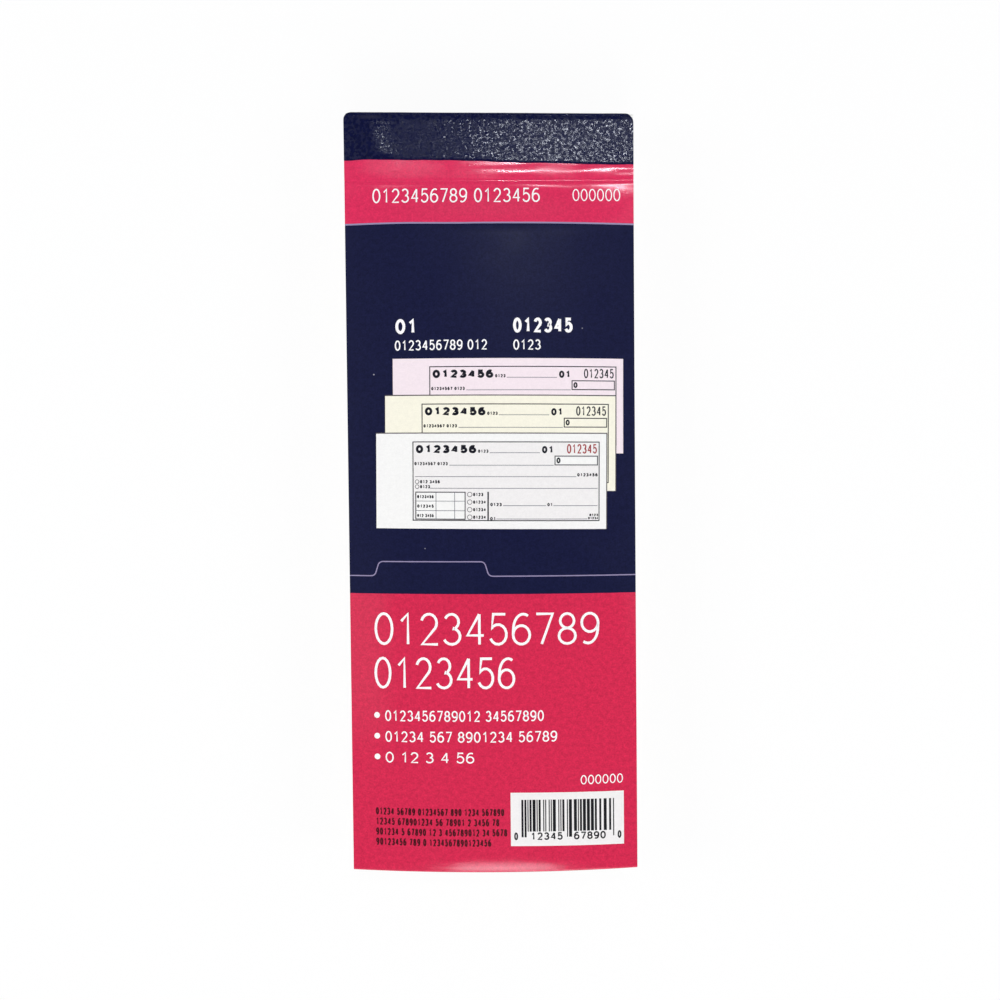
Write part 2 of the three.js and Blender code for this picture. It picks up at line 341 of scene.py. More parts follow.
def coated(name, colour, roughness=0.3, specular=0.4, specks=False, mottle=0.05):
    """Printed glossy card: slight ink mottling, a fine orange peel and faint handling marks."""
    material, tree, shader = new_material(name, specular=specular)
    at = flat_coordinates(tree)
    mottling = remap(tree, noise(tree, at, 0.9, 4.0), 1 - mottle, 1 + mottle)
    finer = remap(tree, noise(tree, at, 2.4, 1.0), 1 - mottle, 1 + mottle)
    halftone = operate(tree, "ShaderNodeMath", "MULTIPLY", mottling, finer)[0]
    tint = shade(tree, colour, halftone)
    if specks:
        dots = add_node(tree, "ShaderNodeTexVoronoi", {"Scale": 0.12 / MM, "Randomness": 1.0})
        tree.links.new(at, dots.inputs["Vector"])
        near = remap(tree, dots.outputs["Distance"], 0.75, 0.0, 0.012, 0.03)
        mix = add_node(tree, "ShaderNodeMix", data_type="RGBA")
        mix.inputs["B"].default_value = (0.55, 0.55, 0.62, 1)
        tree.links.new(near, mix.inputs["Factor"])
        tree.links.new(tint, mix.inputs["A"])
        tint = mix.outputs["Result"]
    tree.links.new(tint, shader.inputs["Base Color"])
    vary_roughness(tree, shader, noise(tree, at, 0.12, 3.0), roughness - 0.05, roughness + 0.07)
    peel = bump(tree, shader, noise(tree, at, 1.6), 0.005, 0.5)
    bump(tree, shader, noise(tree, at, 5.0, 1.0), 0.004, 0.5, peel)
    return material


def printed_paper(name, colour):
    """A printed picture of paper on the card, which is nearly even in tone."""
    return coated(name, colour, 0.35, mottle=0.02)


def paper(name, colour, roughness=0.8):
    """Uncoated paper: cloudy tone and fine fibres."""
    material, tree, shader = new_material(name, specular=0.25)
    at = flat_coordinates(tree)
    tone = remap(tree, noise(tree, at, 0.35, 5.0, 0.6), 0.97, 1.02)
    paint(tree, shader, colour, tone)
    vary_roughness(tree, shader, noise(tree, at, 2.0), roughness - 0.05, roughness + 0.05)
    bump(tree, shader, noise(tree, at, 6.0, 3.0), 0.01, 0.4)
    return material


def edge_paper(name, colour):
    """Cut edges of a stack of leaves: the tone changes a little along each leaf."""
    material, tree, shader = new_material(name, 0.9, 0.15)
    at = solid_coordinates(tree)
    tone = remap(tree, noise(tree, at, 0.5, 6.0, 0.7), 0.9, 1.03)
    paint(tree, shader, colour, tone)
    bump(tree, shader, noise(tree, at, 8.0, 3.0), 0.015, 0.5)
    return material


def ink(name, colour, roughness=0.35):
    """Solid printing ink on the coated card or on a leaf."""
    material, tree, shader = new_material(name, roughness, 0.35)
    at = flat_coordinates(tree)
    tone = remap(tree, noise(tree, at, 3.0, 3.0), 0.95, 1.04)
    paint(tree, shader, colour, tone)
    bump(tree, shader, noise(tree, at, 5.0, 1.0), 0.004, 0.5)
    return material


# The tape's cells and facets per millimetre, and how far each relief reaches as a bump
EMBOSS_CELLS = 2.0
EMBOSS_DEPTH = 0.007
FACETS = 3.5
FACET_TILT = 72


def leathered(name, colour):
    """Embossed binding tape: low rounded cells, and small facets whose tilts make some glint."""
    material, tree, shader = new_material(name, specular=0.21)
    at = flat_coordinates(tree)
    cells = add_node(tree, "ShaderNodeTexVoronoi", {"Scale": EMBOSS_CELLS / MM},
                     feature="SMOOTH_F1")
    cells.inputs["Smoothness"].default_value = 0.5
    tree.links.new(at, cells.inputs["Vector"])
    height = remap(tree, cells.outputs["Distance"], 1.0, 0.0, 0.0, 0.8)
    # Painted shade: the tape's colour is darker in the hollows between the cells and lighter on
    # their tops
    paint(tree, shader, colour, remap(tree, height, 0.8, 1.25, 0.0, 1.0))
    vary_roughness(tree, shader, noise(tree, at, 1.2), 0.42, 0.11, 0.42, 0.55)
    # A facet's height is its random tilt times the place within it
    facets = add_node(tree, "ShaderNodeTexVoronoi", {"Scale": FACETS / MM},
                      voronoi_dimensions="2D")
    tree.links.new(at, facets.inputs["Vector"])
    maths = "ShaderNodeVectorMath"
    offset = operate(tree, maths, "SUBTRACT", at, facets.outputs["Position"])["Vector"]
    tilt = operate(tree, maths, "SUBTRACT", facets.outputs["Color"], (0.5, 0.5, 0.5))["Vector"]
    slope = operate(tree, maths, "DOT_PRODUCT", offset, tilt)["Value"]
    coarse = bump(tree, shader, height, EMBOSS_DEPTH)
    bump(tree, shader, slope, FACET_TILT, 1.0, coarse)
    return material


def chipboard(name):
    """Grey recycled board with darker and lighter flecks."""
    material, tree, shader = new_material(name, 0.88, 0.2)
    at = solid_coordinates(tree)
    ramp = add_node(tree, "ShaderNodeValToRGB")
    stops = ramp.color_ramp.elements
    stops[0].position, stops[0].color = 0.3, (*linear(118, 108, 95), 1)
    stops[1].position, stops[1].color = 0.72, (*linear(176, 166, 150), 1)
    tree.links.new(noise(tree, at, 1.1, 8.0, 0.75), ramp.inputs["Fac"])
    tree.links.new(ramp.outputs["Color"], shader.inputs["Base Color"])
    bump(tree, shader, noise(tree, at, 3.0, 6.0, 0.7), 0.03, 0.6)
    return material


def wire(name):
    """Galvanised staple wire, drawn lengthwise."""
    material, tree, shader = new_material(name)
    at = solid_coordinates(tree)
    tone = remap(tree, noise(tree, at, 2.0, 3.0), 0.85, 1.05)
    paint(tree, shader, (190, 193, 198), tone)
    shader.inputs["Metallic"].default_value = 1.0
    vary_roughness(tree, shader, noise(tree, at, 6.0), 0.28, 0.42)
    return material


# Colours are 8-bit display colours
CRIMSON = coated("crimson_print", (213, 43, 80), 0.13, mottle=0.1)
# Painted sheen: the top band's crimson is lighter and bluer than the field's, standing in for light
# reflected on the band
CRIMSON_BAND_SHEEN = coated("crimson_band_painted_sheen_print", (221, 48, 92), 0.13, mottle=0.08)
NAVY = coated("navy_print", (24, 27, 59), 0.33, 0.075, specks=True, mottle=0.14)
CARD_INSIDE = paper("card_inside", (236, 233, 228), 0.75)
CARD_EDGE = paper("card_edge", (240, 236, 232))
LILAC = ink("lilac_ink", (150, 140, 176))
WHITE_INK = ink("white_ink", (254, 252, 253))
BLACK_INK = ink("black_ink", (12, 11, 18))
MAROON_INK = ink("maroon_ink", (74, 4, 20))
FORM_INK = ink("form_ink", (8, 9, 26))
GREY_INK = ink("grey_rule_ink", (74, 74, 92))
RED_INK = ink("serial_ink", (158, 36, 42))
FORM_WHITE = printed_paper("form_white_print", (247, 246, 244))
FORM_TINT = printed_paper("form_tint_print", (242, 239, 238))
FORM_CANARY = printed_paper("form_canary_print", (249, 245, 227))
FORM_PINK = printed_paper("form_pink_print", (246, 231, 237))
SHADOW_INK = printed_paper("form_shadow_print", (78, 72, 76))
PANEL_WHITE = printed_paper("panel_white_print", (243, 240, 239))
WHITE_PAPER = paper("white_leaf", (247, 247, 244))
CANARY_PAPER = paper("canary_leaf", (249, 239, 172))
PINK_PAPER = paper("pink_leaf", (247, 203, 216))
WHITE_EDGE = edge_paper("white_leaf_edge", (242, 241, 236))
CANARY_EDGE = edge_paper("canary_leaf_edge", (249, 244, 212))
PINK_EDGE = edge_paper("pink_leaf_edge", (247, 224, 231))
TAPE = leathered("binding_tape", (10, 15, 54))
TAPE_EDGE = ink("tape_cut_edge", (30, 10, 26), 0.6)
BOARD = chipboard("grey_chipboard")
WIRE = wire("staple_wire")


# Front cover: one card from inside the tape, over the crease, to the rolled lower fold

def stations(*spans):
    """Increasing places: the first span gives the start, each further one an end and a step."""
    places = [spans[0][0]]
    for end, step in spans[1:]:
        count = max(1, round((end - places[-1]) / step))
        places += list(np.linspace(places[-1], end, count + 1)[1:])
    return np.array(places)


LEAF_START = SPINE_Y - PAPER_SPINE_Y
CARD_START = LEAF_START + 0.3
BAND_END = 26.3
FIELD_END = 115.6
ACROSS = np.linspace(-HALF, HALF, 113)
DOWN = stations((CARD_START, 0), (2, 0.2), (9, 1.7), (21, 0.2), (BAND_END, 0.3), (32, 0.3),
                (FIELD_END, 1.8), (172, 1.8), (FOLD_D, 0.4))
FOLD_STEPS = 16


def bound_width(share, d):
    """Place across the bound end, where the corners are trimmed round: share is -1 to 1."""
    radius = np.where(share < 0, LEFT_CORNER, RIGHT_CORNER)
    inset = np.clip(radius - d, 0, radius)
    return share * (HALF - radius + np.sqrt(radius ** 2 - inset ** 2))


def card_surface(x, d):
    """Height of a grid as coarse as the card's, so that print lies close to the card's faces."""
    i = np.clip(np.searchsorted(ACROSS, x) - 1, 0, len(ACROSS) - 2)
    j = np.clip(np.searchsorted(DOWN, d) - 1, 0, len(DOWN) - 2)
    a = (x - ACROSS[i]) / (ACROSS[i + 1] - ACROSS[i])
    b = (d - DOWN[j]) / (DOWN[j + 1] - DOWN[j])
    near, far = (card_top(ACROSS[i], DOWN[row]) * (1 - a) + card_top(ACROSS[i + 1], DOWN[row]) * a
                 for row in (j, j + 1))
    return near * (1 - b) + far * b


# How far the print is off its plan at the end of the band, and at the end of the navy field
BAND_SHIFT = 0.3
FIELD_SHIFT = 0.12
FIELD_SKEW = 0.24


def askew(x, d):
    """Where print planned for (x, d) lies down the card, whose sheet was printed a bit askew."""
    band = BAND_SHIFT * smooth((x + 24) / 18) * np.exp(-((d - BAND_END) / 4) ** 2)
    field = (FIELD_SHIFT + FIELD_SKEW * x / HALF) * np.exp(-((d - FIELD_END) / 20) ** 2)
    return d + band + field


def cover_card():
    share, d = np.meshgrid(ACROSS / HALF, DOWN)
    x = bound_width(share, d)
    d = askew(x, d)
    top = card_top(x, d)
    outer = np.stack([x, SPINE_Y - d, top], -1)
    inner = outer - (0, 0, CARD)
    turn = np.linspace(0, pi, FOLD_STEPS + 1)[1:]
    x, angle = np.meshgrid(ACROSS, turn)
    high = card_top(ACROSS, FOLD_D)
    low = FOLD_Z + bow(ACROSS, FOLD_D, COVER_BOW) + corner_lift(ACROSS, FOLD_D)
    middle, tall = (high + low) / 2, (high - low) / 2

    def roll(thick):
        y = FOLD_Y - (FOLD_RADIUS - thick) * np.sin(angle)
        z = middle + (tall - thick) * np.cos(angle)
        return np.stack([x, y, z], -1)

    outer = np.concatenate([outer, roll(0)])
    inner = np.concatenate([inner, roll(CARD)])
    run = np.concatenate([DOWN, FOLD_D + FOLD_RADIUS * turn])
    flat = np.stack(np.meshgrid(ACROSS, run), -1)
    inks = [CRIMSON, CARD_INSIDE, CARD_EDGE, NAVY, CRIMSON_BAND_SHEEN]
    card = sheet("front_cover_card", outer, inner, flat, inks)
    columns = len(ACROSS) - 1
    for row, start in enumerate(DOWN[:-1]):
        field = CRIMSON
        # Rows of the top band get the crimson with the painted sheen
        if start < BAND_END - 0.01:
            field = CRIMSON_BAND_SHEEN
        elif start < FIELD_END - 0.01:
            field = NAVY
        for column in range(columns):
            card.data.polygons[row * columns + column].material_index = inks.index(field)
    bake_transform(card)
    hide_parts("front_cover", "front_cover_binding_strip")


def shield_card():
    """The turned-in end of the cover. It starts where the rolled fold ends."""
    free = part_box("writing_shield")[1].y / MM
    finer_from = FOLD_Y + 6
    along = np.concatenate([np.linspace(free, finer_from, 36),
                            np.linspace(finer_from, FOLD_Y, 20)[1:]])
    x, y = np.meshgrid(ACROSS[::2], along)
    low = FOLD_Z + bow(x, SPINE_Y - y, COVER_BOW) + corner_lift(x, SPINE_Y - y)
    upper = np.stack([x, y, low + CARD], -1)
    lower = np.stack([x, y, low], -1)
    flat = np.stack([x, SPINE_Y - y], -1)
    card = sheet("writing_shield_card", upper, lower, flat, [CARD_INSIDE, CRIMSON, CARD_EDGE])
    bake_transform(card)
    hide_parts("writing_shield")


# Flat print: strips of quads on a sheet, collected by ink and laid on the surface

CELL = 1.3


class Print:
    """Print in one ink: points are (x, d) on the sheet until lay() puts them on a surface."""

    def __init__(self):
        self.points = []
        self.faces = []

    def strip(self, pairs):
        """Quads between consecutive pairs of points, cut finely enough to follow the bow."""
        pairs = np.asarray(pairs, float)
        width = np.linalg.norm(pairs[:, 1] - pairs[:, 0], axis=1).max()
        across = max(1, ceil(width / CELL))
        share = np.linspace(0, 1, across + 1)[None, :, None]
        points = pairs[:, :1] * (1 - share) + pairs[:, 1:] * share
        first = len(self.points)
        self.points += [tuple(p) for p in points.reshape(-1, 2)]
        self.faces += grid_faces(len(pairs), across + 1, first)

    def box(self, x0, x1, d0, d1):
        n = max(1, ceil((x1 - x0) / CELL))
        xs = np.linspace(x0, x1, n + 1)
        self.strip([((x, d1), (x, d0)) for x in xs[::-1]])

    def frame(self, x0, x1, d0, d1, line):
        self.box(x0, x1, d0, d0 + line)
        self.box(x0, x1, d1 - line, d1)
        self.box(x0, x0 + line, d0 + line, d1 - line)
        self.box(x1 - line, x1, d0 + line, d1 - line)

    def dot(self, x, d, r):
        turn = np.linspace(0, 2 * pi, 17)
        self.strip([((x, d), (x + r * cos(a), d + r * sin(a))) for a in turn])

    def ring(self, x, d, r, line):
        around = [(cos(a), sin(a)) for a in np.linspace(0, 2 * pi, 21)]
        inside = r - line
        self.strip([((x + inside * c, d + inside * s), (x + r * c, d + r * s)) for c, s in around])

    def ribbon(self, points, width):
        """An even pen stroke along a line of points."""
        points = np.asarray(points, float)
        steps = np.diff(points, axis=0)
        steps /= np.linalg.norm(steps, axis=1)[:, None]
        closed = np.allclose(points[0], points[-1])
        before = np.concatenate([steps[-1:] if closed else steps[:1], steps])
        after = np.concatenate([steps, steps[:1] if closed else steps[-1:]])
        lean = before + after
        lean /= np.linalg.norm(lean, axis=1)[:, None]
        reach = width / 2 / np.clip((lean * after).sum(1), 0.7, 1)
        side = np.stack([-lean[:, 1], lean[:, 0]], -1) * reach[:, None]
        self.strip(np.stack([points + side, points - side], 1))

    def digits(self, text, x0, d0, height, pen, x1):
        """Plain figures from x0 to x1, with their top at d0. A space is half a figure wide."""
        shares = [0.55 if c == " " else 1 for c in text]
        pitch = (x1 - x0) / (sum(shares) - 0.2)
        wide = 0.84 * pitch - pen
        for figure, share in zip(text, shares):
            for stroke in FIGURES.get(figure, []):
                self.ribbon([(x0 + pen / 2 + u * wide, d0 + pen / 2 + (1 - v) * (height - pen))
                             for u, v in stroke], pen)
            x0 += share * pitch

    def turned(self, at):
        """The same print, placed by a function of its points."""
        other = Print()
        other.points = [at(*p) for p in self.points]
        other.faces = list(self.faces)
        return other


def arc(cx, cy, rx, ry, start, end, steps=12):
    turn = np.radians(np.linspace(start, end, steps + 1))
    return [(cx + rx * cos(a), cy + ry * sin(a)) for a in turn]


SIX = arc(0.62, 0.5, 0.6, 0.5, 62, 172, 8) + arc(0.5, 0.31, 0.5, 0.31, 180, 540, 18)
# Strokes of each figure in a square one unit wide and one high
FIGURES = {
    "0": [arc(0.5, 0.5, 0.5, 0.5, 90, 450, 20)],
    "1": [[(0.18, 0.76), (0.58, 1), (0.58, 0)]],
    "2": [arc(0.48, 0.71, 0.46, 0.29, 165, -38, 10) + [(0.05, 0), (1, 0)]],
    "3": [arc(0.46, 0.75, 0.42, 0.25, 155, -75, 10) + arc(0.46, 0.27, 0.5, 0.27, 75, -155, 10)],
    "4": [[(0.74, 1), (0.02, 0.3), (1, 0.3)], [(0.74, 1), (0.74, 0)]],
    "5": [[(0.92, 1), (0.2, 1), (0.1, 0.52)] + arc(0.48, 0.33, 0.5, 0.33, 125, -155, 12)],
    "6": [SIX],
    "7": [[(0.02, 1), (1, 1), (0.34, 0)]],
    "8": [arc(0.5, 0.76, 0.42, 0.24, -90, 270, 16), arc(0.5, 0.26, 0.5, 0.26, 90, 450, 16)],
    "9": [[(1 - x, 1 - y) for x, y in SIX]],
}


def lay(name, printed, material, surface, lift):
    """Print as a thin skin over a surface: lift is how far the ink stands off the sheet."""
    flat = np.array(printed.points, float)
    z = surface(flat[:, 0], flat[:, 1]) + lift
    points = np.stack([flat[:, 0], SPINE_Y - flat[:, 1], z], -1)
    return add_mesh(name, points, printed.faces, [material], uv=flat)


# Cover print. A form's frame is given as its left, right, upper and lower edge on the form.
RULE = 0.4
TAB_RULE_PEN = 0.27
TAB_RULE = 111.27
TAB = (-28.65, -0.95)
TAB_TOP = 107.77
TAB_SLOPE = 1.05
TAB_BEND = 1.0
FORM_SIZE = (55.75, 22.9)
FORM_FRAME = (8.85, 54.1, 1.88, 21.0)

# How far inks stand off the sheet. Each printed form lies a step over the one behind it.
RULE_LIFT = 0.01
TYPE_LIFT = 0.014
BARS_LIFT = 0.02
FORM_STEP = 0.012
SHADOW_LIFT = -0.003
TINT_LIFT = 0.003
BLANK_LIFT = 0.006
FORM_INK_LIFT = 0.008
LEAF_INK_LIFT = 0.006


def tab_outline():
    """The rule's path over the raised tab: up a slanted side with soft corners, along, down."""
    left, right = TAB
    path = [(-HALF, TAB_RULE), (left, TAB_RULE), (left + TAB_SLOPE, TAB_TOP),
            (right - TAB_SLOPE, TAB_TOP), (right, TAB_RULE), (HALF, TAB_RULE)]
    rounded = [path[0]]
    for before, corner, after in zip(path, path[1:], path[2:]):
        before, corner, after = (np.array(p, float) for p in (before, corner, after))
        enter, leave = (corner + (end - corner) / np.linalg.norm(end - corner) * TAB_BEND
                        for end in (before, after))
        for t in np.linspace(0, 1, 6):
            rounded.append(tuple((1 - t) ** 2 * enter + 2 * t * (1 - t) * corner + t * t * leave))
    rounded.append(path[-1])
    return rounded


def fine(points, step=CELL):
    """The same line with points added, none further apart than a step."""
    out = [points[0]]
    for a, b in zip(points, points[1:]):
        n = max(1, ceil(dist(a, b) / step))
        out += [(a[0] + (b[0] - a[0]) * i / n, a[1] + (b[1] - a[1]) * i / n)
                for i in range(1, n + 1)]
    return out


def form_print(serial, whole=True, weight=1.0):
    """A generic receipt form as {part: print}, in the small form's own millimetres. One that is
    not whole has only its upper rows, because the next form hides the rest."""
    dark, rules, tint, number, blank = Print(), Print(), Print(), Print(), Print()
    left, right, top, low = FORM_FRAME
    wide, tall = right - left, low - top
    thin, thick, fine_pen = 0.13 * weight, 0.23 * weight, 0.24 * weight

    def label(x0, x1, d, figures, size=0.8):
        dark.digits(figures, x0, d - size / 2, size, fine_pen, x1)

    def rule(x0, x1, d):
        rules.box(x0, x1, d, d + thin)

    tint.box(0, wide, 0, tall)
    dark.frame(0, wide, 0, tall, thick)
    dark.digits("0123456", 0.8, 0.85, 2.0, 0.62 * weight, 15.3)
    label(15.8, 18.3, 2.35, "0123")
    rule(18.6, 30.7, 2.65)
    dark.digits("01", 31.2, 1.1, 1.75, 0.48 * weight, 34.0)
    number.digits(serial, wide - 8.0, 0.6, 2.3, 0.3 * weight, wide - 0.7)
    dark.frame(wide - 11.0, wide - 0.4, 3.4, 5.75, thick)
    blank.box(wide - 11.0 + thick, wide - 0.4 - thick, 3.4 + thick, 5.75 - thick)
    dark.digits("0", wide - 10.55, 3.85, 1.4, 0.36 * weight, wide - 9.6)
    label(0.45, 8.5, 5.35, "01234567 0123")
    rule(8.9, wide - 11.2, 5.65)
    if whole:
        rule(0.6, wide - 5.7, 8.4)
        label(wide - 5.5, wide - 0.5, 8.0, "0123456")
        for i, figures in enumerate(("012 3456", "0123")):
            dark.ring(1.1, 9.7 + 1.2 * i, 0.52, thin)
            label(1.8, 1.8 + 0.6 * len(figures), 9.7 + 1.2 * i, figures)
        rule(4.2, wide - 0.5, 11.2)
        blank.box(0.65, 12.8, 12.1, tall - 0.3)
        dark.frame(0.65, 12.8, 12.1, tall - 0.3, thick)
        for i in range(1, 3):
            rule(0.65, 12.8, 12.0 + 2.3 * i)
        for i, figures in enumerate(("0123456", "012345", "012 3456")):
            label(1.1, 5.1, 13.3 + 2.28 * i, figures)
        for x in (5.6, 10.1):
            rules.box(x, x + thin, 12.1, tall - 0.3)
        for i, figures in enumerate(("0123", "01234", "01234", "01234")):
            dark.ring(13.8, 12.75 + 1.82 * i, 0.62, thin)
            label(14.6, 14.6 + 0.61 * len(figures), 12.75 + 1.82 * i, figures)
        dark.box(18.05, 18.4, 12.1, tall - 0.1)
        label(18.75, 21.5, 15.15, "0123")
        rule(21.8, 32.2, 15.35)
        label(32.5, 33.8, 15.15, "01")
        rule(34.0, wide - 0.5, 15.35)
        label(18.7, 20.1, 18.55, "01")
        rule(20.2, wide - 3.0, 18.55)
        label(wide - 2.5, wide - 0.35, 17.65, "0123", 0.6)
        label(wide - 2.8, wide - 0.35, 18.4, "01234", 0.6)
    parts = {"tint": tint, "blank": blank, "rules": rules, "dark": dark, "number": number}
    return {part: printed.turned(lambda x, d: (x + left, d + top))
            for part, printed in parts.items()}


def cover_print():
    """Every print on the cover, from the lowest layer up."""
    layers = []

    def layer(name, material, lift, printed):
        layers.append((name, printed, material, lift))

    rules = Print()
    rules.box(-HALF, HALF, BAND_END - RULE / 2, BAND_END + RULE / 2)
    rules.ribbon(fine(tab_outline()), TAB_RULE_PEN)
    layer("lilac_rules_print", LILAC, RULE_LIFT, rules)

    # Rows of plain figures in white: top band, over the forms, large, dotted, and the last code
    white = Print()
    for row in (("0123456789 0123456", -28.2, 17.7, 3.6, 0.36, 12.1),
                ("000000", 20.1, 18.05, 3.0, 0.26, 31.6),
                ("01", -22.9, 49.3, 3.6, 0.7, -17.7),
                ("0123456789 012", -23.1, 54.4, 2.5, 0.33, -0.9),
                ("012345", 5.4, 49.3, 3.6, 0.7, 19.7),
                ("0123", 5.4, 54.5, 2.5, 0.33, 12.0),
                ("0123456789", -28.95, 120.15, 8.0, 0.64, 25.6),
                ("0123456", -29.1, 131.0, 7.8, 0.64, 5.0)):
        white.digits(*row)
    for figures, d, end in (("0123456789012 34567890", 145.4, 12.0),
                            ("01234 567 8901234 56789", 150.5, 15.2), ("0 12 3 4 56", 155.6, -5.0)):
        white.dot(-28.6, d - 0.1, 0.72)
        white.digits(figures, -26.6, d - 1.35, 2.7, 0.34, end)
    white.digits("000000", 20.95, 160.3, 2.3, 0.25, 31.35)
    layer("white_type_print", WHITE_INK, TYPE_LIFT, white)

    small = Print()
    for i, (figures, end) in enumerate((("01234 56789 01234567 890 1234 567890", 2.2),
                                        ("12345 678901234 56 78901 2 3456 78", 1.0),
                                        ("901234 5 67890 12 3 456789012 34 5678", 2.9),
                                        ("90123456 789 0 1234567890123456", -1.0))):
        small.digits(figures, -29.2, 168.05 + 2.5 * i, 1.8, 0.35, end)
    layer("small_type_print", MAROON_INK, TYPE_LIFT, small)

    # The three forms, each with its upper left corner and its turn in radians
    papers = (("pink", FORM_PINK, -23.65, 58.8, 0.0055),
              ("canary", FORM_CANARY, -25.6, 67.7, 0.008),
              ("white", FORM_WHITE, -27.9, 76.75, 0.009))
    for index, (name, material, x0, d0, turn) in enumerate(papers):
        whole = name == "white"
        lift = TYPE_LIFT + FORM_STEP * index
        place = lambda u, v: (x0 + u - turn * v, d0 + v + turn * u)
        if index:
            shadow = Print()
            shadow.box(-0.05, FORM_SIZE[0] + 0.24, -0.26, FORM_SIZE[1])
            layer(f"{name}_form_shadow_print", SHADOW_INK, lift + SHADOW_LIFT, shadow.turned(place))
        sheet_print = Print()
        sheet_print.box(0, FORM_SIZE[0], 0, FORM_SIZE[1])
        layer(f"{name}_form_print", material, lift, sheet_print.turned(place))
        parts = [("tint", FORM_TINT, TINT_LIFT), ("blank", FORM_WHITE, BLANK_LIFT)] if whole else []
        parts += [("rules", GREY_INK, FORM_INK_LIFT), ("dark", FORM_INK, FORM_INK_LIFT),
                  ("number", RED_INK if whole else FORM_INK, FORM_INK_LIFT)]
        form = form_print("012345", whole)
        for part, used_ink, above in parts:
            layer(f"{name}_form_{part}_print", used_ink, lift + above, form[part].turned(place))

    # Panel with a plain pattern of bars and figures, turned a little against the card
    level = lambda x, d: (x, d + 0.0155 * (x - 17.7))
    panel = Print()
    panel.box(3.8, 31.6, 164.35, 177.45)
    layer("panel_print", PANEL_WHITE, TYPE_LIFT, panel.turned(level))
    bars = Print()
    rng = random.Random(7)
    x = 6.4
    while x < 29.2:
        width = rng.choice((0.26, 0.26, 0.5, 0.5, 0.74, 0.98))
        guard = x < 7.6 or x > 28.0 or 17.2 < x < 18.4
        bars.box(x, min(x + width, 29.4), 166.1, 175.3 if guard else 173.9)
        x += width + rng.choice((0.24, 0.24, 0.48, 0.6))
    for figures, start, end in (("0", 4.6, 5.5), ("12345", 8.6, 16.4), ("67890", 19.2, 27.0),
                                ("0", 30.0, 30.9)):
        bars.digits(figures, start, 174.1, 1.9, 0.36, end)
    layer("bars_print", BLACK_INK, BARS_LIFT, bars.turned(level))

    for name, printed, material, lift in layers:
        printed = printed.turned(lambda x, d: (x, askew(x, d)))
        piece = lay(name, printed, material, card_surface, lift)
        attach(piece, COVER)


# Binding tape

TAPE_BACK = 11.4
TAPE_SHEET = 0.2
TAPE_ROUND = 0.5
# Its front edge: place at the left, slant, step right of the middle, dip at the left corner
FRONT_AT_LEFT = 10.52
FRONT_SLANT = 0.75
FRONT_STEP = 0.27
FRONT_DIP = 0.5
# Its wear: bulge in the middle of the bound end; middle, reach, turn and height of a low wave
BULGE = 0.34
BUCKLE = ((-27.7, 5.6), (13.0, 3.3), 76, 0.38)
PEBBLE_HEIGHT = 0.01
HOLLOW_HEIGHT = 0.03
# How far it is pressed down on the card, more so at its front edge, and sunk at the bound end
PRESSED = 0.06
PRESSED_EDGE = 0.08
SUNK_END = 0.16
FLUSH = 0.02


def tape_front(share):
    """Front edge of the tape, a little askew: share runs from -1 at the left to 1."""
    dip = FRONT_DIP * np.exp(-((share + 1.0) / 0.13) ** 2)
    skew = FRONT_AT_LEFT + FRONT_SLANT * (share + 1) + FRONT_STEP * smooth((share + 0.05) / 0.35)
    return skew + dip + 0.06 * np.sin(9 * share + 1.0) + 0.03 * np.sin(31 * share)


def tape_bulge(share):
    """How far the tape stands off the bound end, where it was pulled over less tightly."""
    return BULGE * (1 - share) * smooth((share + 1.04) / 0.06)


def buckle(x, d):
    """The low wave of the loose tape, whose right side catches the light."""
    return ridge(x, d, *BUCKLE) * smooth((d - TAPE_ROUND) / 1.4)


def grain(x, run):
    """Leather embossing: small rounded pebbles, and wide soft hollows."""
    pebbles = 0.5 * uneven(x, run, 0.55, 0.5, 21) + 0.35 * uneven(x, run, 0.9, 0.8, 22)
    hollows = uneven(x, run, 9.0, 6.0, 23) + 0.6 * uneven(x, run, 3.5, 4.0, 24)
    return PEBBLE_HEIGHT * pebbles, HOLLOW_HEIGHT * hollows


